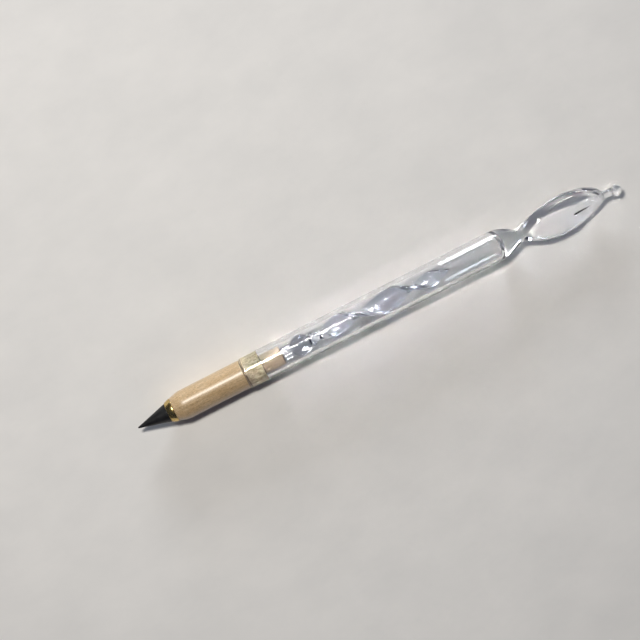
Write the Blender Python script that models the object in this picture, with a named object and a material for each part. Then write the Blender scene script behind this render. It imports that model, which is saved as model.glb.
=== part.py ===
"""A glass writing pen with a screw-in graphite point.

A turned beech grip carries a brass-mounted graphite cone at the front. At the back its tenon is glued
into a clear glass tube. A lampworked ornament (stem, ball, collar and twisted ribbon) stands inside
the tube on the grip's spigot. The tube closes in a solid shoulder, which carries a flattened, twisted
leaf and a small knob.

Metres, +Z up. The pen lies level along X, its point towards -X. The origin is halfway along the pen,
on the flat under the tube, so the tube rests on Z = 0.
"""

import math

import bmesh
import bpy
from mathutils import Euler, Matrix, Vector

# Driving dimensions
PEN_LENGTH = 0.202
TUBE_RADIUS = 0.006
TUBE_WALL = 0.0015
BORE_RADIUS = TUBE_RADIUS - TUBE_WALL
SIDES = 24                  # facets of a round piece; one of them faces straight down
JOINT_GAP = 0.0001          # between pieces that are glued, pressed or fused together
SHOULDER_GAP = 0.0003       # between pieces that only meet end to end
WELD = 1e-6

# The point: distances from the tip of the cone
TIP_RADIUS = 0.0003
CONE_LENGTH = 0.0126
CONE_RADIUS = 0.0037
CONE_SOCKET_RADIUS = 0.0017
CONE_SOCKET_DEPTH = 0.0042
FERRULE_FRONT = CONE_LENGTH + JOINT_GAP
FERRULE_FRONT_RADIUS = 0.0039
FERRULE_BACK = 0.0152
FERRULE_BACK_RADIUS = 0.0046
STUD_RADIUS = 0.0020        # M4 x 0.7 thread, modelled at its outer diameter
STUD_LENGTH = 0.0060

# The wooden grip
GRIP_FRONT = FERRULE_BACK + JOINT_GAP
GRIP_FRONT_RADIUS = 0.00465
GRIP_TAPER_LENGTH = 0.0034
GRIP_RADIUS = 0.00566
GRIP_SHOULDER = 0.0447
TENON_RADIUS = 0.0041
TENON_END = 0.0522
SPIGOT_RADIUS = 0.0037
SPIGOT_END = 0.0607
EDGE_BREAK = 0.0003
INSERT_RADIUS = 0.0029
INSERT_BORE = STUD_RADIUS + 0.00015
INSERT_LENGTH = 0.0078
INSERT_RECESS = 0.0004
STUD_CLEARANCE = 0.0012
STEM_HOLE_DEPTH = 0.0058

# The ornament inside the tube
STEM_RADIUS = 0.0026
BALL_CENTRE = 0.0684
BALL_RADIUS = 0.0041
COLLAR_RADIUS = 0.0028
COLLAR_NECK_RADIUS = 0.0019
COLLAR_LENGTH = 0.0021
RIBBON_START = 0.0743

# The glass tube and its solid shoulder
TUBE_MOUTH = 0.0449
BORE_STRAIGHT_END = 0.1495
BORE_END = 0.1528
SHOULDER_START = 0.1500
SHOULDER_END = 0.1591
NECK_RADIUS = 0.0027
NECK_SIDESTEP = 0.0006      # the shoulder is drawn out a little off centre, towards -Y
SHOULDER_POWER = 1.8

# The finial starts on the shoulder's neck and leans a little out of the tube's line, towards -Y.
# Its own distances are measured from the neck.
FINIAL_START = SHOULDER_END + JOINT_GAP
FINIAL_LEAN = math.radians(1.6)
KNOB_START = 0.0354
KNOB_FOOT_RADIUS = 0.0018
KNOB_NECK_RADIUS = 0.0016
KNOB_RADIUS = 0.0021
KNOB_CENTRE = 0.0407

# Blades: distance along, half width, half thickness, twist in degrees, sidestep towards +Y
RIBBON_STATIONS = (
    (0.0000, 0.0021, 0.0019, -90, 0.0),
    (0.0040, 0.0032, 0.0016, -52, 0.0002),
    (0.0097, 0.0037, 0.0014, 0, 0.0006),
    (0.0186, 0.0038, 0.0014, 90, 0.0004),
    (0.0312, 0.0042, 0.0014, 180, 0.0002),
    (0.0410, 0.0036, 0.0013, 270, 0.0002),
    (0.0492, 0.0028, 0.0012, 355, 0.0001),
    (0.0542, 0.0016, 0.0009, 410, 0.0),
    (0.0566, 0.0004, 0.0004, 430, 0.0),
)
LEAF_STATIONS = (
    (0.0000, 0.0027, 0.0027, -115, 0.0),
    (0.0020, 0.0035, 0.0028, -60, 0.0002),
    (0.0040, 0.0040, 0.0024, -30, 0.0002),
    (0.0066, 0.0050, 0.0019, -17, 0.0001),
    (0.0096, 0.0059, 0.0017, -11, 0.0),
    (0.0150, 0.0067, 0.0017, -5, 0.0001),
    (0.0206, 0.0069, 0.0021, 2, 0.0006),
    (0.0244, 0.0064, 0.0024, 12, 0.0009),
    (0.0281, 0.0060, 0.0025, 24, 0.0011),
    (0.0319, 0.0047, 0.0024, 34, 0.0010),
    (0.0338, 0.0036, 0.0021, 38, 0.0008),
    (0.0349, 0.0025, 0.0017, 40, 0.0006),
    (0.0353, 0.0017, 0.0013, 40, 0.0005),
)


def clear_scene():
    for item in list(bpy.data.objects):
        bpy.data.objects.remove(item, do_unlink=True)


def make_material(name, colour, roughness, metallic=0.0, transmission=0.0):
    material = bpy.data.materials.new(name)
    material.use_nodes = True
    shader = material.node_tree.nodes["Principled BSDF"]
    shader.inputs["Base Color"].default_value = (*colour, 1.0)
    shader.inputs["Roughness"].default_value = roughness
    shader.inputs["Metallic"].default_value = metallic
    shader.inputs["Transmission Weight"].default_value = transmission
    return material


def make_axis(name, location, parent=None, turn=(0, 0, 0)):
    """An empty whose X axis is the centre line of the pieces hung on it."""
    axis = bpy.data.objects.new(name, None)
    axis.empty_display_size = TUBE_RADIUS
    axis.location = location
    axis.rotation_euler = Euler(turn)
    axis.parent = parent
    bpy.context.collection.objects.link(axis)
    return axis


def make_object(shape, name, material, parent, location=(0, 0, 0)):
    """Turn a finished bmesh into a smooth-shaded object."""
    bmesh.ops.remove_doubles(shape, verts=shape.verts, dist=WELD)
    bmesh.ops.recalc_face_normals(shape, faces=shape.faces)
    mesh = bpy.data.meshes.new(name)
    shape.to_mesh(mesh)
    shape.free()
    mesh.materials.append(material)
    mesh.shade_smooth()
    mesh.set_sharp_from_angle(angle=math.radians(35))
    piece = bpy.data.objects.new(name, mesh)
    piece.location = location
    piece.parent = parent
    bpy.context.collection.objects.link(piece)
    return piece


def arc(centre, radius, start, end, steps):
    """Points (distance, radius) of a circular arc centred on the axis, angles from the +X side."""
    points = []
    for step in range(steps + 1):
        angle = start + (end - start) * step / steps
        points.append((centre + radius * math.cos(angle), max(0.0, radius * math.sin(angle))))
    return points


def spin_outline(outline, sides=SIDES):
    """Spin an outline of (distance, radius) points about the axis, with a flat facing down.

    The stated radius is the distance to the flats. An outline that doesn't start on the axis is a
    ring's section, and its last point is joined to its first.
    """
    shape = bmesh.new()
    to_corner = 1 / math.cos(math.pi / sides)
    half_facet = Matrix.Rotation(math.pi / sides, 3, 'X')
    points = []
    for distance, radius in outline:
        points.append(shape.verts.new(half_facet @ Vector((distance, 0, -radius * to_corner))))
    edges = [shape.edges.new(pair) for pair in zip(points, points[1:])]
    if outline[0][1] > 0:
        edges.append(shape.edges.new((points[-1], points[0])))
    bmesh.ops.spin(shape, geom=points + edges, cent=(0, 0, 0), axis=(1, 0, 0),
                   angle=2 * math.pi, steps=sides, use_merge=True)
    return shape


def turned(name, outline, material, parent):
    return make_object(spin_outline(outline), name, material, parent)


def blend_stations(stations, distance):
    """Read a table of stations at a distance, on a smooth curve through its rows."""
    last = len(stations) - 2
    row = max(i for i in range(last + 1) if stations[i][0] <= distance or i == 0)
    start, end = stations[row], stations[row + 1]
    before, after = stations[max(row - 1, 0)], stations[min(row + 2, last + 1)]
    span = end[0] - start[0]
    share = (distance - start[0]) / span
    values = []
    for column in range(1, len(start)):
        slope_in = (end[column] - before[column]) / (end[0] - before[0]) * span
        slope_out = (after[column] - start[column]) / (after[0] - start[0]) * span
        rise = end[column] - start[column]
        cubic = slope_in + slope_out - 2 * rise
        square = 3 * rise - 2 * slope_in - slope_out
        values.append(start[column] + share * (slope_in + share * (square + share * cubic)))
    return values


def twisted_blade(name, stations, material, parent, location, rings, points):
    """Loft elliptical sections along X, each turned about X by its own twist."""
    shape = bmesh.new()
    length = stations[-1][0]
    loops = []
    for ring in range(rings + 1):
        distance = length * ring / rings
        half_width, half_thickness, twist, sidestep = blend_stations(stations, distance)
        turn = Matrix.Rotation(math.radians(twist), 3, 'X')
        loop = []
        for point in range(points):
            angle = 2 * math.pi * point / points
            section = Vector((0, half_width * math.cos(angle), half_thickness * math.sin(angle)))
            loop.append(shape.verts.new(Vector((distance, sidestep, 0)) + turn @ section))
        loops.append(loop)
    for loop, following in zip(loops, loops[1:]):
        for point in range(points):
            beside = (point + 1) % points
            shape.faces.new((loop[point], loop[beside], following[beside], following[point]))
    shape.faces.new(loops[0])
    shape.faces.new(loops[-1])
    return make_object(shape, name, material, parent, location)


def build_point(axis, graphite, brass):
    slope = (CONE_RADIUS - TIP_RADIUS) / CONE_LENGTH
    lean = math.atan(slope)
    tip = arc(TIP_RADIUS, TIP_RADIUS, math.pi, math.pi / 2 + lean, 4)
    turned("nib_cone", tip + [
        (CONE_LENGTH - EDGE_BREAK / 2, CONE_RADIUS - slope * EDGE_BREAK / 2),
        (CONE_LENGTH, CONE_RADIUS - EDGE_BREAK / 2),
        (CONE_LENGTH, CONE_SOCKET_RADIUS),
        (CONE_LENGTH - CONE_SOCKET_DEPTH, CONE_SOCKET_RADIUS),
        (CONE_LENGTH - CONE_SOCKET_DEPTH, 0),
    ], graphite, axis)

    pin_radius = CONE_SOCKET_RADIUS - JOINT_GAP
    pin_front = CONE_LENGTH - CONE_SOCKET_DEPTH + SHOULDER_GAP
    turned("nib_ferrule", [
        (pin_front, 0),
        (pin_front, pin_radius),
        (FERRULE_FRONT, pin_radius),
        (FERRULE_FRONT, FERRULE_FRONT_RADIUS - EDGE_BREAK / 2),
        (FERRULE_FRONT + EDGE_BREAK / 2, FERRULE_FRONT_RADIUS),
        (FERRULE_BACK - EDGE_BREAK / 2, FERRULE_BACK_RADIUS),
        (FERRULE_BACK, FERRULE_BACK_RADIUS - EDGE_BREAK / 2),
        (FERRULE_BACK, STUD_RADIUS),
        (FERRULE_BACK + STUD_LENGTH - EDGE_BREAK, STUD_RADIUS),
        (FERRULE_BACK + STUD_LENGTH, STUD_RADIUS - EDGE_BREAK),
        (FERRULE_BACK + STUD_LENGTH, 0),
    ], brass, axis)


def build_grip(axis, wood, brass, glue):
    insert_front = GRIP_FRONT + INSERT_RECESS
    insert_back = insert_front + INSERT_LENGTH
    hole_radius = INSERT_RADIUS + JOINT_GAP
    stud_hole_end = insert_back + STUD_CLEARANCE
    stem_hole_radius = STEM_RADIUS + JOINT_GAP
    taper_end = GRIP_FRONT + GRIP_TAPER_LENGTH
    turned("grip", [
        (stud_hole_end, 0),
        (stud_hole_end, INSERT_BORE),
        (insert_back + JOINT_GAP, INSERT_BORE),
        (insert_back + JOINT_GAP, hole_radius),
        (GRIP_FRONT, hole_radius),
        (GRIP_FRONT, GRIP_FRONT_RADIUS),
        (taper_end - 2 * EDGE_BREAK, GRIP_RADIUS - EDGE_BREAK),
        (taper_end, GRIP_RADIUS - EDGE_BREAK / 3),
        (taper_end + 4 * EDGE_BREAK, GRIP_RADIUS),
        (GRIP_SHOULDER - EDGE_BREAK / 2, GRIP_RADIUS),
        (GRIP_SHOULDER, GRIP_RADIUS - EDGE_BREAK / 2),
        (GRIP_SHOULDER, TENON_RADIUS),
        (TENON_END, TENON_RADIUS),
        (TENON_END, SPIGOT_RADIUS),
        (SPIGOT_END - EDGE_BREAK, SPIGOT_RADIUS),
        (SPIGOT_END, SPIGOT_RADIUS - EDGE_BREAK),
        (SPIGOT_END, stem_hole_radius),
        (SPIGOT_END - STEM_HOLE_DEPTH, stem_hole_radius),
        (SPIGOT_END - STEM_HOLE_DEPTH, 0),
    ], wood, axis)

    turned("grip_insert", [
        (insert_front, INSERT_BORE + EDGE_BREAK),
        (insert_front, INSERT_RADIUS),
        (insert_back, INSERT_RADIUS),
        (insert_back, INSERT_BORE),
        (insert_front + EDGE_BREAK, INSERT_BORE),
    ], brass, axis)

    turned("tenon_glue", [
        (TUBE_MOUTH + JOINT_GAP, TENON_RADIUS + JOINT_GAP),
        (TUBE_MOUTH + JOINT_GAP, BORE_RADIUS - JOINT_GAP),
        (TENON_END, BORE_RADIUS - JOINT_GAP),
        (TENON_END, TENON_RADIUS + JOINT_GAP),
    ], glue, axis)


def build_ornament(axis, glass):
    stem_front = SPIGOT_END - STEM_HOLE_DEPTH + SHOULDER_GAP
    front_angle = math.pi - math.asin(STEM_RADIUS / BALL_RADIUS)
    back_angle = math.asin(COLLAR_NECK_RADIUS / BALL_RADIUS)
    ball = arc(BALL_CENTRE, BALL_RADIUS, front_angle, back_angle, 12)
    turned("ornament_stem", [
        (stem_front, 0),
        (stem_front, STEM_RADIUS),
        (ball[0][0] - JOINT_GAP, STEM_RADIUS),
        (ball[0][0] - JOINT_GAP, 0),
    ], glass, axis)
    turned("ornament_ball", [(ball[0][0], 0)] + ball + [(ball[-1][0], 0)], glass, axis)

    collar_front = ball[-1][0] + JOINT_GAP
    collar_back = collar_front + COLLAR_LENGTH
    shelf = COLLAR_LENGTH / 4
    turned("ornament_collar", [
        (collar_front, 0),
        (collar_front, COLLAR_NECK_RADIUS),
        (collar_front + shelf, COLLAR_NECK_RADIUS),
        (collar_front + shelf + EDGE_BREAK, COLLAR_RADIUS),
        (collar_back - EDGE_BREAK, COLLAR_RADIUS),
        (collar_back, COLLAR_NECK_RADIUS),
        (collar_back, 0),
    ], glass, axis)
    twisted_blade("ornament_ribbon", RIBBON_STATIONS, glass, axis, (RIBBON_START, 0, 0), 56, 16)


def build_tube(axis, glass):
    mouth_break = EDGE_BREAK
    outside = [
        (TUBE_MOUTH, BORE_RADIUS),
        (TUBE_MOUTH, TUBE_RADIUS - mouth_break),
        (TUBE_MOUTH + mouth_break, TUBE_RADIUS),
    ]
    shoulder_length = SHOULDER_END - SHOULDER_START
    for step in range(9):
        share = step / 8
        radius = TUBE_RADIUS - (TUBE_RADIUS - NECK_RADIUS) * share ** SHOULDER_POWER
        outside.append((SHOULDER_START + shoulder_length * share, radius))
    dome_length = BORE_END - BORE_STRAIGHT_END
    dome = []
    for step in range(6):
        angle = math.pi / 2 * step / 5
        dome.append((BORE_STRAIGHT_END + dome_length * math.cos(angle), BORE_RADIUS * math.sin(angle)))
    # From the dome's top along the bore, out of the mouth, along the outside and onto the end face.
    shape = spin_outline(dome + outside + [(SHOULDER_END, 0)])
    for corner in shape.verts:
        share = max(0.0, (corner.co.x - BORE_END) / (SHOULDER_END - BORE_END))
        corner.co.y -= NECK_SIDESTEP * share ** 2
    make_object(shape, "barrel_tube", glass, axis)


def build_finial(axis, glass):
    twisted_blade("leaf_finial", LEAF_STATIONS, glass, axis, (0, 0, 0), 36, 24)
    root_angle = math.pi - math.asin(KNOB_NECK_RADIUS / KNOB_RADIUS)
    bead = arc(KNOB_CENTRE, KNOB_RADIUS, root_angle, 0, 8)
    turned("finial_knob", [
        (KNOB_START, 0),
        (KNOB_START, KNOB_FOOT_RADIUS),
    ] + bead, glass, axis)


def build_pen():
    clear_scene()
    graphite = make_material("graphite", (0.012, 0.012, 0.013), 0.45)
    brass = make_material("brass", (0.72, 0.52, 0.22), 0.28, metallic=1.0)
    wood = make_material("beech", (0.62, 0.44, 0.28), 0.42)
    glass = make_material("clear_glass", (0.96, 0.97, 0.97), 0.02, transmission=1.0)
    glue = make_material("clear_glue", (0.85, 0.80, 0.68), 0.25, transmission=0.6)

    front = -PEN_LENGTH / 2
    pen_axis = make_axis("pen_axis", (front, 0, TUBE_RADIUS))
    nib_axis = make_axis("nib_axis", (0, 0, 0), parent=pen_axis)
    finial_axis = make_axis("finial_axis", (FINIAL_START, -NECK_SIDESTEP, 0), parent=pen_axis,
                            turn=(0, 0, -FINIAL_LEAN))
    build_point(nib_axis, graphite, brass)
    build_grip(pen_axis, wood, brass, glue)
    build_ornament(pen_axis, glass)
    build_tube(pen_axis, glass)
    build_finial(finial_axis, glass)


build_pen()
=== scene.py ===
"""Looks for the glass writing pen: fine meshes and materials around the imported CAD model.

Metres, in the CAD frame: the pen lies level along X with its point towards -X, its tube on Z = 0.
"""

import math

import bmesh
import bpy
from mathutils import Matrix, Vector


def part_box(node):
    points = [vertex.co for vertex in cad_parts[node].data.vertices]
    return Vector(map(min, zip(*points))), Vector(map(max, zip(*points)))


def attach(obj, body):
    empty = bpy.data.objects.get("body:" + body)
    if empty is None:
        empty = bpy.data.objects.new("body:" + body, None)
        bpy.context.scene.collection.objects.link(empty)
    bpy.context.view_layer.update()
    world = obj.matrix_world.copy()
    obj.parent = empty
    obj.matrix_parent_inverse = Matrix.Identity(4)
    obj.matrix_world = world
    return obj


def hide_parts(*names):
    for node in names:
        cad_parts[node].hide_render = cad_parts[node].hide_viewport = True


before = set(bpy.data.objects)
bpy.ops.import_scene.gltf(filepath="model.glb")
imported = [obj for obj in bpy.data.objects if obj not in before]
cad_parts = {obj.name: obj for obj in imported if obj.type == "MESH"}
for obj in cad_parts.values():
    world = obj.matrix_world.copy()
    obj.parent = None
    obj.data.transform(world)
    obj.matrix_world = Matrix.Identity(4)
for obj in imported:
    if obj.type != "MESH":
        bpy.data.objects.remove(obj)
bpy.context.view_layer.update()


def span(node):
    """Start and end of a CAD node along the pen, and its radius."""
    low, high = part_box(node)
    return low.x, high.x, (high.z - low.z) / 2


# Places and sizes that the frame gives
TIP, CONE_BASE, CONE_RADIUS = span("nib_cone")
PIN_FRONT, STUD_END, FERRULE_RADIUS = span("nib_ferrule")
GRIP_FRONT, SPIGOT_END, GRIP_RADIUS = span("grip")
INSERT_FRONT, INSERT_BACK, INSERT_RADIUS = span("grip_insert")
_, TENON_END, _ = span("tenon_glue")
STEM_FRONT, _, STEM_RADIUS = span("ornament_stem")
BALL_FRONT, BALL_END, BALL_RADIUS = span("ornament_ball")
COLLAR_FRONT, COLLAR_END, COLLAR_RADIUS = span("ornament_collar")
RIBBON_FRONT, _, _ = span("ornament_ribbon")
TUBE_MOUTH, NECK_END, TUBE_RADIUS = span("barrel_tube")
LEAF_FRONT, _, _ = span("leaf_finial")
_, _, KNOB_RADIUS = span("finial_knob")
AXIS_HEIGHT = TUBE_RADIUS

JOINT_GAP = 0.0001                  # between pieces that meet

# The point and its collar
TIP_RADIUS = 0.0003
PIN_RADIUS = 0.0016                 # the collar's pin, which the cone is pressed on to
PIN_HOLE_RADIUS = 0.0017
PIN_HOLE_DEPTH = 0.0042
COLLAR_FACE_RADIUS = 0.0039
STUD_RADIUS = 0.0020
THREAD_PITCH = 0.0007
THREAD_DEPTH = 0.00035
STUD_CHAMFER = 0.0003

# The grip, its insert and the glue
TENON_RADIUS = 0.0041
SPIGOT_RADIUS = 0.0037
TAPER_LENGTH = 0.0034
TAPER_DROP = 0.00101                # in radius, from the grip's middle to its front
GRIP_SHOULDER = TUBE_MOUTH - 0.0002
INSERT_BORE = STUD_RADIUS + 0.00015
INSERT_CHAMFER = 0.0003
DRILL_OVERRUN = 0.0012              # the stud's hole goes this far past the insert
STEM_HOLE_DEPTH = 0.0058
GLUE_END = TENON_END + JOINT_GAP

# The glass
BORE_RADIUS = 0.0045
BORE_STRAIGHT_END = TUBE_MOUTH + 0.1046
BORE_END = TUBE_MOUTH + 0.1079
SHOULDER_START = TUBE_MOUTH + 0.1051
SHOULDER_POWER = 1.8                # its radius falls with this power of the distance
NECK_RADIUS = 0.0027
NECK_SIDESTEP = 0.0006              # the shoulder is drawn out a little off centre, towards -Y
FINIAL_LEAN = math.radians(1.6)     # towards -Y
KNOB_NECK_RADIUS = 0.0015
KNOB_CENTRE = 0.0407                # from the leaf's start
BALL_NECK_RADIUS = 0.0019           # between the ball and the collar behind it

TURNED_SIDES = 144
FINE_SIDES = 96
THREAD_SIDES = 72

# Clear glass, faintly cool where it is thick
TUBE_TINT = (0.955, 0.960, 0.972)
ORNAMENT_TINT = (0.850, 0.868, 0.940)
LEAF_TINT = (0.915, 0.917, 0.945)

# The stage. The key is one long light above and beyond the pen: wide over the grip, and a strip
# over the tube. The window stands low down and far beyond it.
PEN_TILT = math.radians(26.97)      # the pen runs up to the right in the picture
CAMERA_PLACE = (-0.0220, 0.00515)
CAMERA_HEIGHT = 0.650
VIEW_WIDTH = 0.2397                 # of the picture, at the height of the pen's axis
SENSOR = 36.0
KEY_COLOUR = (1.0, 0.965, 0.90)
KEY_PLACE = (-0.1100, 0.245, 0.760)
KEY_SIZE = (0.097, 0.12)
KEY_POWER = 3.65
STRIP_PLACE = (-0.0275, 0.245, 0.760)
STRIP_SIZE = (0.066, 0.030)
STRIP_POWER = 0.95
WINDOW_COLOUR = (0.86, 0.92, 1.0)
WINDOW_PLACE = (0.33, 1.2, 0.275)
WINDOW_SIZE = (0.42, 0.23)
WINDOW_POWER = 10.5
ROOM_COLOUR = (0.50, 0.62, 1.0)
ROOM_BEYOND = 0.05                  # the room is dim, and dimmest beyond the pen
ROOM_NEAR = 0.08
ROOM_SPREAD = (-0.2, 0.7)           # of a direction's Y, over which near passes into beyond
FLOOR_SIZE = 3.0
FLOOR_DROP = 0.00002                # keeps the paper clear of the tube's underside

# Blades: distance along, half width, half thickness, twist in degrees, sidestep towards +Y,
# how flat the faces are (2 is an ellipse, more is a plate with round edges), and how thick the
# middle is against the rims (under 1 leaves two rims with a thinner web between them)
RIBBON_STATIONS = (
    (0.0000, 0.0021, 0.0019, -90, 0.0, 2.0, 1.0),
    (0.0040, 0.0032, 0.0016, -52, 0.0002, 2.2, 0.9),
    (0.0097, 0.0037, 0.0014, 0, 0.0006, 2.8, 0.7),
    (0.0186, 0.0038, 0.0014, 90, 0.0004, 3.0, 0.7),
    (0.0312, 0.0042, 0.0014, 180, 0.0002, 3.0, 0.7),
    (0.0410, 0.0036, 0.0013, 270, 0.0002, 3.0, 0.7),
    (0.0492, 0.0028, 0.0012, 355, 0.0001, 2.6, 0.8),
    (0.0542, 0.0016, 0.0009, 410, 0.0, 2.0, 0.9),
    (0.0566, 0.0004, 0.0004, 430, 0.0, 2.0, 1.0),
)
LEAF_STATIONS = (
    (0.0000, 0.0028, 0.0028, -115, 0.0, 2.0, 1.0),
    (0.0020, 0.0035, 0.0028, -60, 0.0002, 2.2, 1.0),
    (0.0040, 0.0040, 0.0024, -30, 0.0002, 3.0, 1.0),
    (0.0066, 0.0050, 0.0018, -17, 0.0001, 4.5, 1.0),
    (0.0096, 0.0059, 0.0014, -11, 0.0, 6.0, 1.0),
    (0.0150, 0.0067, 0.0014, -5, 0.0001, 6.0, 1.0),
    (0.0206, 0.0069, 0.0018, 2, 0.0006, 4.0, 1.0),
    (0.0244, 0.0064, 0.0021, 12, 0.0009, 3.4, 1.0),
    (0.0281, 0.0060, 0.0024, 24, 0.0011, 2.6, 1.0),
    (0.0319, 0.0047, 0.0024, 34, 0.0010, 2.2, 1.0),
    (0.0338, 0.0036, 0.0021, 38, 0.0008, 2.2, 1.0),
    (0.0349, 0.0025, 0.0017, 40, 0.0006, 2.0, 1.0),
    (0.0353, 0.0017, 0.0013, 40, 0.0005, 2.0, 1.0),
)

LEAF_RELIEF_START = 0.010           # nearer the neck the leaf is plain
CREASE_SHADE_START = 0.0004                 # a groove on the leaf is painted with shade from this depth down,
CREASE_SHADE_FULL = 0.0009                  # and is painted quite black from this depth: painted shade in the crease

# Relief on the leaf's upper face: its height (negative for a groove), its half width, the shares
# of its length over which it fades in and out, and its path, seen from above in the finial's own
# X and Y. The far end is rolled over on to the face, which leaves a crease, a fine line follows
# the rim beyond, and the near edge is turned up a little.
LEAF_RELIEF = (
    (0.0022, 0.0012, 0.25, 0.25, (
        (0.0245, 0.0060), (0.0290, 0.0048), (0.0322, 0.0031), (0.0338, 0.0013),
        (0.0326, 0.0000), (0.0290, -0.0002), (0.0240, -0.0006))),
    (-0.0015, 0.00034, 0.05, 0.25, (
        (0.0224, -0.0017), (0.0255, -0.0014), (0.0290, -0.0012), (0.0330, -0.0010))),
    (-0.0003, 0.00035, 0.3, 0.3, (
        (0.0120, 0.0042), (0.0150, 0.0052), (0.0185, 0.0057), (0.0225, 0.0058),
        (0.0262, 0.0052))),
    (0.0006, 0.0012, 0.3, 0.3, (
        (0.0165, -0.0062), (0.0200, -0.0058), (0.0250, -0.0046), (0.0300, -0.0031),
        (0.0335, -0.0018))),
)


# ---------------------------------------------------------------- mesh tools

def rounded(corners, steps=5):
    """An outline of (x, radius) points from corners (x, radius) or (x, radius, fillet)."""
    points = []
    for index, corner in enumerate(corners):
        here = Vector(corner[:2])
        if len(corner) == 2:
            points.append(here)
            continue
        before = Vector(corners[index - 1][:2])
        after = Vector(corners[(index + 1) % len(corners)][:2])
        back = min(corner[2], (before - here).length * 0.49)
        forth = min(corner[2], (after - here).length * 0.49)
        start = here + (before - here).normalized() * back
        end = here + (after - here).normalized() * forth
        for step in range(steps + 1):
            share = step / steps
            bend = 2 * share * (1 - share) * here
            points.append((1 - share) ** 2 * start + bend + share ** 2 * end)
    return points


def arc(centre, radius, start, end, steps):
    """Points (x, radius) of a circular arc centred on the axis, angles from the +X side."""
    points = []
    for step in range(steps + 1):
        angle = start + (end - start) * step / steps
        points.append((centre + radius * math.cos(angle), max(0.0, radius * math.sin(angle))))
    return points


def supported(outline):
    """Add a point near each end of a long stretch, so that its smooth shading stays straight."""
    support = 0.0002
    points = [Vector(outline[0])]
    for spot in outline[1:]:
        start, end = points[-1], Vector(spot)
        run = end - start
        if run.length > 6 * support:
            points += [start + run.normalized() * support, end - run.normalized() * support]
        points.append(end)
    return points


def on_round(shape, x, radius, angle):
    """A vertex at an angle round the pen's axis."""
    return shape.verts.new((x, radius * math.cos(angle), AXIS_HEIGHT + radius * math.sin(angle)))


def ring(shape, x, radius, sides):
    """A loop of vertices round the pen's axis."""
    return [on_round(shape, x, radius, 2 * math.pi * side / sides) for side in range(sides)]


def bridge(shape, loops):
    """Join each loop of vertices to the next with a band of faces."""
    for loop, following in zip(loops, loops[1:]):
        count = len(loop)
        for point in range(count):
            beside = (point + 1) % count
            shape.faces.new((loop[point], loop[beside], following[beside], following[point]))


def fan(shape, x, loop):
    """Close a loop with triangles round a point on the pen's axis."""
    pole = shape.verts.new((x, 0, AXIS_HEIGHT))
    for point in range(len(loop)):
        shape.faces.new((pole, loop[point], loop[(point + 1) % len(loop)]))


def spin(outline, sides=TURNED_SIDES):
    """A solid turned about the pen's axis. Ends of the outline on the axis become poles."""
    shape = bmesh.new()
    rings = []
    for x, radius in supported(outline):
        if radius < 1e-7:
            rings.append([shape.verts.new((x, 0, AXIS_HEIGHT))])
        else:
            rings.append(ring(shape, x, radius, sides))
    pairs = list(zip(rings, rings[1:]))
    if len(rings[0]) > 1:
        pairs.append((rings[-1], rings[0]))
    for loop, following in pairs:
        for side in range(sides):
            beside = (side + 1) % sides
            quad = [loop[side % len(loop)], loop[beside % len(loop)],
                    following[beside % len(following)], following[side % len(following)]]
            shape.faces.new(list(dict.fromkeys(quad)))
    return shape


def make_piece(shape, name, material, body, replaced=()):
    """Finish a bmesh as a piece that rides on a body."""
    bmesh.ops.recalc_face_normals(shape, faces=shape.faces)
    mesh = bpy.data.meshes.new(name)
    shape.to_mesh(mesh)
    shape.free()
    mesh.materials.append(material)
    mesh.shade_smooth()
    mesh.set_sharp_from_angle(angle=math.radians(50))
    piece = bpy.data.objects.new(name, mesh)
    bpy.context.scene.collection.objects.link(piece)
    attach(piece, body)
    if replaced:
        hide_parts(*replaced)


def blend_stations(stations, distance):
    """Read a table of stations at a distance, on a smooth curve through its rows."""
    last = len(stations) - 2
    row = max(i for i in range(last + 1) if stations[i][0] <= distance or i == 0)
    start, end = stations[row], stations[row + 1]
    before, after = stations[max(row - 1, 0)], stations[min(row + 2, last + 1)]
    width = end[0] - start[0]
    share = (distance - start[0]) / width
    values = []
    for column in range(1, len(start)):
        slope_in = (end[column] - before[column]) / (end[0] - before[0]) * width
        slope_out = (after[column] - start[column]) / (after[0] - start[0]) * width
        rise = end[column] - start[column]
        cubic = slope_in + slope_out - 2 * rise
        square = 3 * rise - 2 * slope_in - slope_out
        values.append(start[column] + share * (slope_in + share * (square + share * cubic)))
    return values


def blade_ring(shape, stations, distance, angles, place, relief=None):
    """One section of a twisted blade, as a loop of vertices.

    Relief raises the upper face, and fades out just above the rims. A mesh with a layer for
    painted shade is marked where the relief is a deep groove, and its glass is painted black there.
    """
    crease_shade = shape.verts.layers.float.get("crease_shade")
    values = blend_stations(stations, distance)
    half_width, half_thickness, twist, sidestep, flatness, waist = values
    turn = Matrix.Rotation(math.radians(twist), 3, 'X')
    loop = []
    for angle in angles:
        across, up = math.cos(angle), math.sin(angle)
        bulge = math.copysign(math.sqrt(max(0.0, 1 - abs(across) ** flatness)), up)
        bulge *= waist + (1 - waist) * across ** 2
        section = turn @ Vector((0, half_width * across, half_thickness * bulge))
        spot = Vector((distance, sidestep + section.y, section.z))
        height = relief(spot.x, spot.y) * min(1.0, 4 * up) if relief and up > 0 else 0.0
        spot.z += height
        vertex = shape.verts.new(place(spot))
        if crease_shade:
            vertex[crease_shade] = max(0.0, min(1.0, (-height - CREASE_SHADE_START) / (CREASE_SHADE_FULL - CREASE_SHADE_START)))
        loop.append(vertex)
    return loop


def even_angles(upper, lower):
    """Angles round a section, so many on its upper half and so many on its lower half."""
    above = [math.pi * step / upper for step in range(upper)]
    return above + [math.pi + math.pi * step / lower for step in range(lower)]


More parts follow.
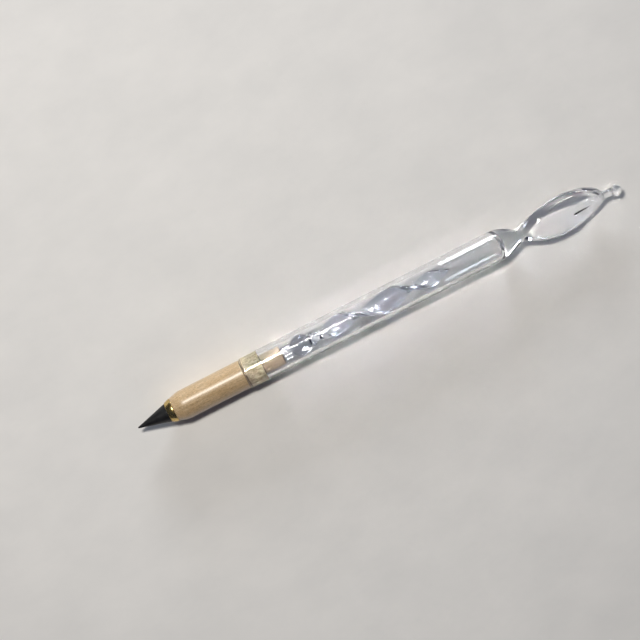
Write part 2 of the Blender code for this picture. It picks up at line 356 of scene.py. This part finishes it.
def smooth_path(points, steps=24):
    """A smooth curve through plan points, as a fine list of Vectors."""
    path = []
    for index in range(len(points) - 1):
        before = Vector(points[max(index - 1, 0)])
        start, end = Vector(points[index]), Vector(points[index + 1])
        after = Vector(points[min(index + 2, len(points) - 1)])
        slope_in, slope_out = (end - before) / 2, (after - start) / 2
        cubic = slope_in + slope_out - 2 * (end - start)
        square = 3 * (end - start) - 2 * slope_in - slope_out
        for step in range(steps):
            share = step / steps
            path.append(start + share * (slope_in + share * (square + share * cubic)))
    path.append(Vector(points[-1]))
    return path


def ridge(path, x, y, half_width, fade_in, fade_out):
    """Height from 0 to 1 of a ridge along a path, fading smoothly at the path's ends."""
    here = Vector((x, y))
    nearest = min(range(len(path) - 1), key=lambda index: (path[index] - here).length_squared)
    start, run = path[nearest], path[nearest + 1] - path[nearest]
    share = max(-1.0, min(1.0, (here - start).dot(run) / run.length_squared))
    away = (start + run * share - here).length / half_width
    if away > 3:
        return 0.0
    along = (nearest + share) / (len(path) - 1)
    fade = max(0.0, min(1.0, along / fade_in, (1 - along) / fade_out))
    return math.exp(-away ** 2) * fade ** 2 * (3 - 2 * fade)


# ---------------------------------------------------------------- material tools

class Nodes:
    """A Principled material and short ways to add nodes to it."""

    def __init__(self, name):
        self.material = bpy.data.materials.new(name)
        self.material.use_nodes = True
        self.tree = self.material.node_tree
        self.shader = self.tree.nodes["Principled BSDF"]
        self.place = self.add("ShaderNodeTexCoord").outputs["Object"]

    def add(self, kind, **settings):
        node = self.tree.nodes.new(kind)
        for key, value in settings.items():
            setattr(node, key, value)
        return node

    def link(self, source, socket):
        self.tree.links.new(source, socket)

    def set(self, **values):
        """Plain values on the shader's own sockets, such as Coat_Weight=0.5."""
        for key, value in values.items():
            self.shader.inputs[key.replace("_", " ")].default_value = value

    def noise(self, scale, detail=4.0, roughness=0.5, distortion=0.0):
        """Noise with so many cells to the metre along X, Y and Z."""
        scaled = self.add("ShaderNodeMapping")
        scaled.inputs["Scale"].default_value = scale
        self.link(self.place, scaled.inputs["Vector"])
        node = self.add("ShaderNodeTexNoise")
        self.link(scaled.outputs["Vector"], node.inputs["Vector"])
        node.inputs["Scale"].default_value = 1.0
        node.inputs["Detail"].default_value = detail
        node.inputs["Roughness"].default_value = roughness
        node.inputs["Distortion"].default_value = distortion
        return node.outputs["Fac"]

    def ramp(self, source, *stops):
        """A colour ramp: stops are (position, value or colour)."""
        node = self.add("ShaderNodeValToRGB")
        elements = node.color_ramp.elements
        while len(elements) < len(stops):
            elements.new(0.5)
        for element, (position, value) in zip(elements, stops):
            element.position = position
            colour = value if isinstance(value, tuple) else (value,) * 3
            element.color = (*colour, 1.0)
        self.link(source, node.inputs["Fac"])
        return node.outputs["Color"]

    def mix(self, factor, first, second, blend='MIX'):
        """A Mix node on sockets, colours or numbers."""
        node = self.add("ShaderNodeMix", data_type='RGBA', blend_type=blend)
        for socket, value in ((node.inputs["Factor"], factor), (node.inputs["A"], first),
                              (node.inputs["B"], second)):
            self.put(socket, value)
        return node.outputs["Result"]

    def put(self, socket, value):
        """Link a socket to another, or set it to a colour or a number."""
        if isinstance(value, bpy.types.NodeSocket):
            self.link(value, socket)
        elif isinstance(value, tuple):
            socket.default_value = (*value, 1.0)
        else:
            socket.default_value = value

    def math(self, operation, first, second=0.0):
        """A Math node on sockets or numbers."""
        node = self.add("ShaderNodeMath", operation=operation)
        self.put(node.inputs[0], first)
        self.put(node.inputs[1], second)
        return node.outputs["Value"]

    def along(self):
        """Distance along the pen."""
        place = self.add("ShaderNodeSeparateXYZ")
        self.link(self.place, place.inputs["Vector"])
        return place.outputs["X"]

    def band(self, centre, half_width):
        """1 on a ring round the pen at a place along it, falling to 0 at the half width."""
        away = self.math('ABSOLUTE', self.math('SUBTRACT', self.along(), centre))
        share = self.math('SUBTRACT', 1.0, self.math('DIVIDE', away, half_width))
        return self.math('MAXIMUM', share, 0.0)

    def beyond(self, start, share):
        """A share on the part of the pen further along than a place, 0 before it."""
        return self.math('MULTIPLY', self.math('GREATER_THAN', self.along(), start), share)

    def bump(self, height, strength, distance, after=None):
        """A normal bumped by a height, on top of another normal if one is given."""
        node = self.add("ShaderNodeBump")
        node.inputs["Strength"].default_value = strength
        node.inputs["Distance"].default_value = distance
        self.link(height, node.inputs["Height"])
        if after is not None:
            self.link(after, node.inputs["Normal"])
        return node.outputs["Normal"]

    def finish(self, colour=None, roughness=None, normal=None):
        """Link what varies to the shader, and give the material."""
        for name, source in (("Base Color", colour), ("Roughness", roughness), ("Normal", normal)):
            if source is not None:
                self.link(source, self.shader.inputs[name])
        return self.material


def graphite_material():
    """Black graphite composite, polished by handling, with fine turning lines round it."""
    n = Nodes("graphite")
    n.set(IOR=1.45)
    turning = n.noise((9000, 300, 300), detail=3)
    smudge = n.noise((400, 600, 600), detail=5)
    grit = n.noise((9000, 9000, 9000), detail=2)
    colour = n.ramp(smudge, (0.3, (0.006, 0.006, 0.006)), (0.7, (0.014, 0.014, 0.015)))
    roughness = n.ramp(n.mix(0.5, turning, smudge), (0.3, 0.36), (0.7, 0.52))
    normal = n.bump(turning, 0.3, 0.00002)
    return n.finish(colour, roughness, n.bump(grit, 0.3, 0.00001, normal))


def brass_material():
    """Turned brass, lightly polished: the turning lines draw each highlight out along the pen."""
    n = Nodes("brass")
    n.set(Metallic=1.0)
    turning = n.noise((16000, 200, 200), detail=2)
    tarnish = n.noise((500, 700, 700), detail=4, roughness=0.6)
    colour = n.ramp(tarnish, (0.35, (0.55, 0.37, 0.12)), (0.65, (0.80, 0.60, 0.25)))
    roughness = n.ramp(tarnish, (0.3, 0.30), (0.7, 0.20))
    return n.finish(colour, roughness, n.bump(turning, 1.0, 0.000015))


def beech_material():
    """Fine-turned pale beech under lacquer: straight grain, ray flecks, pores, painted shade at
    seams.

    The tenon and spigot, inside the tube, are painted paler: painted light for what the glass holds
    back.
    """
    n = Nodes("beech")
    grain = n.noise((130, 1700, 1700), detail=6, roughness=0.65, distortion=0.5)
    cloud = n.noise((260, 420, 420), detail=4, roughness=0.6)
    flecks = n.noise((800, 5200, 5200), detail=1)
    pores = n.noise((2000, 12000, 12000), detail=1)
    base = n.ramp(grain, (0.30, (0.44, 0.30, 0.15)), (0.52, (0.60, 0.43, 0.245)),
                  (0.74, (0.72, 0.55, 0.35)))
    warm = n.mix(n.ramp(cloud, (0.36, 0.0), (0.66, 0.75)), base, (0.55, 0.37, 0.19))
    fleck_share = n.ramp(flecks, (0.58, 0.0), (0.66, 0.55))
    flecked = n.mix(fleck_share, warm, (0.36, 0.21, 0.09))
    mottle = n.noise((1300, 2400, 2400), detail=4, roughness=0.7)
    shade = n.ramp(mottle, (0.32, 0.72), (0.50, 1.0), (0.70, 1.16))
    mottled = n.mix(1.0, flecked, shade, 'MULTIPLY')
    pore_share = n.ramp(pores, (0.64, 0.0), (0.72, 0.6))
    colour = n.mix(pore_share, mottled, (0.25, 0.14, 0.06))
    # painted light: the wood inside the tube is made paler to make up for the light the glass holds
    # back
    colour = n.mix(n.beyond(TUBE_MOUTH, 0.45), colour, (0.92, 0.79, 0.62))
    # painted shade: a dark ring at the tube's mouth, at the tenon's step and at the stem's hole
    for shaded_seam, half_width in ((TUBE_MOUTH + 0.0002, 0.0006), (TENON_END, 0.0004),
                             (SPIGOT_END - 0.0001, 0.0004)):
        colour = n.mix(n.band(shaded_seam, half_width), colour, (0.10, 0.06, 0.03))
    roughness = n.ramp(grain, (0.3, 0.34), (0.7, 0.46))
    turning = n.noise((7000, 150, 150), detail=2)
    relief = n.mix(0.5, n.mix(0.4, grain, turning), mottle)
    n.set(Coat_Weight=0.6, Coat_Roughness=0.30, Coat_IOR=1.5)
    n.set(Sheen_Weight=0.2, Sheen_Roughness=0.4)
    normal = n.bump(relief, 0.7, 0.00006)
    return n.finish(colour, roughness, n.bump(pore_share, -0.4, 0.00003, normal))


def glass_material(name, waviness, tint, crease_shaded=False):
    """Clear flame-polished borosilicate glass with the faint waves that working it leaves.

    Where its mesh says so, the glass is painted black: painted shade in the leaf's crease.
    """
    n = Nodes(name)
    n.set(Transmission_Weight=1.0, IOR=1.474, Roughness=0.0)
    n.shader.inputs["Base Color"].default_value = (*tint, 1.0)
    colour = None
    if crease_shaded:
        # painted shade: the glass turns black where the mesh's crease layer says so
        crease_shade = n.add("ShaderNodeAttribute", attribute_name="crease_shade").outputs["Fac"]
        colour = n.mix(crease_shade, tint, (0.0, 0.0, 0.0))
    waves = n.noise((90, 220, 220), detail=1, roughness=0.4)
    return n.finish(colour, None, n.bump(waves, waviness, 0.0002))


def glue_material():
    """Cured adhesive: a thin film over the wood's colour, milky where it holds bubbles."""
    n = Nodes("clear_glue")
    cloud = n.noise((500, 900, 900), detail=5, roughness=0.65)
    bubbles = n.noise((2500, 3500, 3500), detail=2)
    share = n.ramp(n.mix(0.35, cloud, bubbles), (0.36, 0.60), (0.60, 0.98))
    colour = n.ramp(n.mix(0.4, cloud, bubbles), (0.34, (0.82, 0.64, 0.38)),
                    (0.50, (0.98, 0.87, 0.62)), (0.66, (1.0, 0.96, 0.80)))
    n.link(share, n.shader.inputs["Alpha"])
    roughness = n.ramp(bubbles, (0.3, 0.35), (0.7, 0.6))
    return n.finish(colour, roughness, n.bump(bubbles, 0.3, 0.00003))


def paper_material():
    """A sheet of matt paper, a little uneven in tone."""
    n = Nodes("paper")
    fibres = n.noise((900, 900, 900), detail=5)
    tone = n.noise((30, 45, 30), detail=5, roughness=0.6)
    colour = n.ramp(tone, (0.32, (0.735, 0.718, 0.695)), (0.68, (0.795, 0.773, 0.745)))
    n.set(Roughness=0.85)
    return n.finish(colour, None, n.bump(fibres, 0.15, 0.00005))


# ---------------------------------------------------------------- the point

def build_cone(graphite):
    """The graphite cone with its blunted tip and the hole for the collar's pin."""
    slope = math.atan((CONE_RADIUS - TIP_RADIUS) / (CONE_BASE - TIP))
    tip = arc(TIP + TIP_RADIUS, TIP_RADIUS, math.pi, math.pi / 2 + slope, 10)
    body = rounded([
        tip[-1],
        (CONE_BASE - 0.0001, CONE_RADIUS, 0.00012),
        (CONE_BASE, CONE_RADIUS - 0.00012, 0.00005),
        (CONE_BASE, PIN_HOLE_RADIUS),
        (CONE_BASE - PIN_HOLE_DEPTH, PIN_HOLE_RADIUS),
        (CONE_BASE - PIN_HOLE_DEPTH, 0.0),
    ])
    make_piece(spin(tip[:-1] + body), "graphite_cone", graphite, "nib", ["nib_cone"])


def thread(shape, start, end, sides):
    """Rings of vertices along a right-hand thread, whose radius follows it round and along."""
    rings = []
    rings_per_turn = 10
    steps = int((end - start) / THREAD_PITCH * rings_per_turn)
    for step in range(steps + 1):
        x = start + (end - start) * step / steps
        run_out = min(1.0, (x - start) / THREAD_PITCH, (end - x) / THREAD_PITCH)
        loop = []
        for side in range(sides):
            phase = ((x - start) / THREAD_PITCH - side / sides) % 1.0
            crest = abs(2 * phase - 1)
            radius = STUD_RADIUS - THREAD_DEPTH * (1 - crest) * run_out
            loop.append(on_round(shape, x, radius, 2 * math.pi * side / sides))
        rings.append(loop)
    return rings


def build_ferrule(brass):
    """The brass turning: a pin in the cone, the collar, and the threaded stud."""
    front = CONE_BASE + JOINT_GAP
    back = GRIP_FRONT - JOINT_GAP
    outline = rounded([
        (PIN_FRONT, 0.0),
        (PIN_FRONT, PIN_RADIUS),
        (front, PIN_RADIUS),
        (front, COLLAR_FACE_RADIUS, 0.00015),
        (back - 0.0008, FERRULE_RADIUS - 0.00004, 0.0008),
        (back, FERRULE_RADIUS, 0.00015),
        (back, STUD_RADIUS),
    ])
    shape = bmesh.new()
    rings = [ring(shape, x, radius, THREAD_SIDES) for x, radius in outline[1:]]
    rings += thread(shape, back + 0.0006, STUD_END - 0.0002, THREAD_SIDES)
    rings.append(ring(shape, STUD_END, STUD_RADIUS - STUD_CHAMFER, THREAD_SIDES))
    bridge(shape, rings)
    fan(shape, outline[0][0], rings[0])
    shape.faces.new(rings[-1])
    make_piece(shape, "brass_ferrule", brass, "nib", ["nib_ferrule"])


# ---------------------------------------------------------------- the grip

def build_grip(beech, brass, glue):
    """The wooden grip, the brass insert in its front end, and the film of glue round its tenon."""
    insert_hole = INSERT_RADIUS + 0.00005
    insert_hole_end = INSERT_BACK + JOINT_GAP
    stem_hole = STEM_RADIUS + JOINT_GAP
    outline = rounded([
        (INSERT_BACK + DRILL_OVERRUN, 0.0),
        (INSERT_BACK + DRILL_OVERRUN, INSERT_BORE),
        (insert_hole_end, INSERT_BORE),
        (insert_hole_end, insert_hole),
        (GRIP_FRONT, insert_hole, 0.0001),
        (GRIP_FRONT, GRIP_RADIUS - TAPER_DROP, 0.00012),
        (GRIP_FRONT + TAPER_LENGTH, GRIP_RADIUS - 0.00002, 0.0011),
        (GRIP_SHOULDER, GRIP_RADIUS, 0.00025),
        (GRIP_SHOULDER, TENON_RADIUS),
        (TENON_END, TENON_RADIUS, 0.0002),
        (TENON_END, SPIGOT_RADIUS, 0.0001),
        (SPIGOT_END, SPIGOT_RADIUS, 0.0004),
        (SPIGOT_END, stem_hole, 0.00015),
        (SPIGOT_END - STEM_HOLE_DEPTH, stem_hole),
        (SPIGOT_END - STEM_HOLE_DEPTH, 0.0),
    ])
    make_piece(spin(outline), "beech_grip", beech, "barrel", ["grip"])

    insert = rounded([
        (INSERT_FRONT, INSERT_BORE + INSERT_CHAMFER, 0.00005),
        (INSERT_FRONT, INSERT_RADIUS, 0.0001),
        (INSERT_BACK, INSERT_RADIUS, 0.0001),
        (INSERT_BACK, INSERT_BORE),
        (INSERT_FRONT + INSERT_CHAMFER, INSERT_BORE),
    ])
    make_piece(spin(insert, FINE_SIDES), "brass_insert", brass, "barrel", ["grip_insert"])

    film_start = TUBE_MOUTH + 0.0006
    film_end = GLUE_END - 0.0002
    film_inside = TENON_RADIUS + 0.00005
    film_outside = BORE_RADIUS - 0.00006
    film = rounded([
        (film_start, film_inside),
        (film_start, film_outside, 0.0001),
        (film_end, film_outside, 0.0001),
        (film_end, film_inside),
    ])
    make_piece(spin(film, FINE_SIDES), "glue_film", glue, "barrel", ["tenon_glue"])


# ---------------------------------------------------------------- the glass

def build_ornament(glass):
    """Stem, ball, collar and twisted ribbon, fused into one piece of glass."""
    stem_end_radius = STEM_RADIUS - 0.0004
    ball_front_angle = math.pi - math.asin(stem_end_radius / BALL_RADIUS) + 0.02
    ball_back_angle = math.asin(BALL_NECK_RADIUS / BALL_RADIUS)
    ball_centre = (BALL_FRONT + BALL_END) / 2 - 0.0003
    outline = rounded([
        (STEM_FRONT, 0.0),
        (STEM_FRONT, STEM_RADIUS, 0.0006),
        (BALL_FRONT - 0.0010, STEM_RADIUS - 0.00005, 0.0005),
        (BALL_FRONT - 0.0002, stem_end_radius),
    ])
    outline += arc(ball_centre, BALL_RADIUS, ball_front_angle, ball_back_angle, 40)
    outline += rounded([
        (COLLAR_FRONT + 0.0002, BALL_NECK_RADIUS - 0.00015),
        (COLLAR_FRONT + 0.0005, COLLAR_RADIUS - 0.0002, 0.0003),
        (COLLAR_FRONT + 0.0012, COLLAR_RADIUS, 0.0005),
        (COLLAR_END - 0.0002, COLLAR_RADIUS - 0.0005),
    ])
    shape = bmesh.new()
    rings = [ring(shape, x, radius, FINE_SIDES) for x, radius in outline[1:]]

    # The ribbon's sections start turned, so each loop is shifted to meet the collar's last ring
    length = RIBBON_STATIONS[-1][0]
    steps = 320
    shift = round(RIBBON_STATIONS[0][3] / 360 * FINE_SIDES)
    angles = even_angles(FINE_SIDES // 2, FINE_SIDES // 2)

    def place(point):
        return Vector((RIBBON_FRONT + point.x, point.y, AXIS_HEIGHT + point.z))

    for step in range(1, steps + 1):
        loop = blade_ring(shape, RIBBON_STATIONS, length * step / steps, angles, place)
        rings.append(loop[-shift:] + loop[:-shift])
    bridge(shape, rings)
    fan(shape, outline[0][0], rings[0])
    shape.faces.new(rings[-1])
    make_piece(shape, "glass_ornament", glass, "barrel",
               ["ornament_stem", "ornament_ball", "ornament_collar", "ornament_ribbon"])


def build_tube(glass):
    """The tube with its bore, closed by a solid shoulder that is drawn out a little off centre.

    Over the glued tenon the glass is carried in to the wood, as glue leaves no air between them.
    """
    in_wood = TENON_RADIUS - 0.0003
    outline = rounded([
        (TUBE_MOUTH, in_wood),
        (TUBE_MOUTH, TUBE_RADIUS, 0.0005),
        (SHOULDER_START - 0.0005, TUBE_RADIUS),
    ])
    length = NECK_END - SHOULDER_START
    steps = 48
    for step in range(steps + 1):
        share = step / steps
        radius = TUBE_RADIUS - (TUBE_RADIUS - NECK_RADIUS) * share ** SHOULDER_POWER
        outline.append((SHOULDER_START + length * share, radius))
    outline.append((NECK_END, 0.0))
    dome = BORE_END - BORE_STRAIGHT_END
    inner = [(BORE_END, 0.0)]
    steps = 24
    for step in range(1, steps + 1):
        angle = math.pi / 2 * step / steps
        inner.append((BORE_STRAIGHT_END + dome * math.cos(angle), BORE_RADIUS * math.sin(angle)))
    inner += [(GLUE_END, BORE_RADIUS), (GLUE_END, in_wood)]
    shape = spin(inner + outline)
    for corner in shape.verts:
        share = max(0.0, (corner.co.x - BORE_END) / (NECK_END - BORE_END))
        corner.co.y -= NECK_SIDESTEP * share ** 2
    make_piece(shape, "glass_tube", glass, "barrel", ["barrel_tube"])


def build_finial(glass):
    """The leaf, with its far end rolled over, and the knob, fused into one piece of glass."""
    angles = even_angles(220, 44)
    steps = 300
    lean = Matrix.Rotation(-FINIAL_LEAN, 3, 'Z')
    foot = Vector((LEAF_FRONT, -NECK_SIDESTEP, AXIS_HEIGHT))
    reliefs = [(*numbers, smooth_path(points)) for *numbers, points in LEAF_RELIEF]

    def place(point):
        return foot + lean @ point

    def relief(x, y):
        if x < LEAF_RELIEF_START:
            return 0.0
        return sum(height * ridge(path, x, y, half_width, fade_in, fade_out)
                   for height, half_width, fade_in, fade_out, path in reliefs)

    shape = bmesh.new()
    # a layer marking the leaf's crease, where its glass is painted black as painted shade
    shape.verts.layers.float.new("crease_shade")
    loops = []
    length = LEAF_STATIONS[-1][0]
    for step in range(steps + 1):
        loops.append(blade_ring(shape, LEAF_STATIONS, length * step / steps, angles, place, relief))
    twist = math.radians(LEAF_STATIONS[-1][3])
    sidestep = LEAF_STATIONS[-1][4]
    sidestep_run = 0.006
    bead_root = math.pi - math.asin(KNOB_NECK_RADIUS / KNOB_RADIUS)
    knob = rounded([
        (length + 0.0002, KNOB_NECK_RADIUS),
        (length + 0.0012, KNOB_NECK_RADIUS, 0.0008),
        (length + 0.0028, KNOB_NECK_RADIUS + 0.00003),
    ]) + arc(KNOB_CENTRE, KNOB_RADIUS, bead_root, 0.12, 24)
    for x, radius in knob:
        loop = []
        aside = sidestep * max(0.0, 1 - (x - length) / sidestep_run)
        for angle in angles:
            spot = Vector((x, aside + radius * math.cos(angle + twist),
                           radius * math.sin(angle + twist)))
            loop.append(shape.verts.new(place(spot)))
        loops.append(loop)
    bridge(shape, loops)
    shape.faces.new(loops[0])
    shape.faces.new(loops[-1])
    make_piece(shape, "glass_finial", glass, "barrel",
               ["leaf_finial", "finial_knob"])


# ---------------------------------------------------------------- the stage

def build_floor(paper):
    """A wide sheet just under the pen."""
    bpy.ops.mesh.primitive_plane_add(size=FLOOR_SIZE, location=(0, 0, -FLOOR_DROP))
    floor = bpy.context.object
    floor.name = "floor"
    floor.data.materials.append(paper)


def area_light(name, location, size, power, colour, aim):
    """A rectangular light turned to a point."""
    light = bpy.data.lights.new(name, 'AREA')
    light.shape = 'RECTANGLE'
    light.size, light.size_y = size
    light.energy = power
    light.color = colour
    lamp = bpy.data.objects.new(name, light)
    lamp.location = location
    lamp.rotation_mode = 'QUATERNION'
    lamp.rotation_quaternion = (Vector(aim) - Vector(location)).to_track_quat('-Z', 'Y')
    bpy.context.scene.collection.objects.link(lamp)


def build_lights():
    """The key and its strip above and beyond the pen, a low window beyond it, and a dim room."""
    area_light("key", KEY_PLACE, KEY_SIZE, KEY_POWER, KEY_COLOUR, (KEY_PLACE[0], 0.0, 0.0))
    area_light("strip", STRIP_PLACE, STRIP_SIZE, STRIP_POWER, KEY_COLOUR, (STRIP_PLACE[0], 0.0, 0.0))
    area_light("window", WINDOW_PLACE, WINDOW_SIZE, WINDOW_POWER, WINDOW_COLOUR,
               (WINDOW_PLACE[0], 0.0, 0.1))
    world = bpy.data.worlds.new("studio")
    world.use_nodes = True
    nodes, links = world.node_tree.nodes, world.node_tree.links
    background = nodes["Background"]
    background.inputs["Color"].default_value = (*ROOM_COLOUR, 1.0)
    direction = nodes.new("ShaderNodeTexCoord")
    parts = nodes.new("ShaderNodeSeparateXYZ")
    strength = nodes.new("ShaderNodeMapRange")
    strength.inputs["From Min"].default_value = ROOM_SPREAD[0]
    strength.inputs["From Max"].default_value = ROOM_SPREAD[1]
    strength.inputs["To Min"].default_value = ROOM_NEAR
    strength.inputs["To Max"].default_value = ROOM_BEYOND
    links.new(direction.outputs["Generated"], parts.inputs["Vector"])
    links.new(parts.outputs["Y"], strength.inputs["Value"])
    links.new(strength.outputs["Result"], background.inputs["Strength"])
    bpy.context.scene.world = world


def build_camera():
    """Straight above the pen, turned so that the pen runs up to the right."""
    camera = bpy.data.cameras.new("camera")
    camera.sensor_width = SENSOR
    camera.lens = SENSOR * (CAMERA_HEIGHT - AXIS_HEIGHT) / VIEW_WIDTH
    camera.clip_start = 0.01
    seat = bpy.data.objects.new("camera", camera)
    seat.location = (*CAMERA_PLACE, CAMERA_HEIGHT)
    seat.rotation_euler = (0.0, 0.0, -PEN_TILT)
    bpy.context.scene.collection.objects.link(seat)
    bpy.context.scene.camera = seat


def set_look():
    """Plain colours, and enough bounces for light to pass through the tube and the ornament."""
    scene = bpy.context.scene
    scene.view_settings.view_transform = 'Standard'
    scene.cycles.max_bounces = 32
    scene.cycles.transmission_bounces = 32
    scene.cycles.glossy_bounces = 12
    scene.cycles.diffuse_bounces = 6
    scene.cycles.blur_glossy = 0.0
    scene.cycles.sample_clamp_indirect = 0.0


build_camera()
build_lights()
build_floor(paper_material())
brass = brass_material()
build_cone(graphite_material())
build_ferrule(brass)
build_grip(beech_material(), brass, glue_material())
build_ornament(glass_material("ornament_glass", 0.02, ORNAMENT_TINT))
build_tube(glass_material("tube_glass", 0.002, TUBE_TINT))
build_finial(glass_material("leaf_glass", 0.02, LEAF_TINT, crease_shaded=True))
set_look()


def corners(box):
    """A box's two corners as plain lists."""
    return [list(box[0]), list(box[1])]
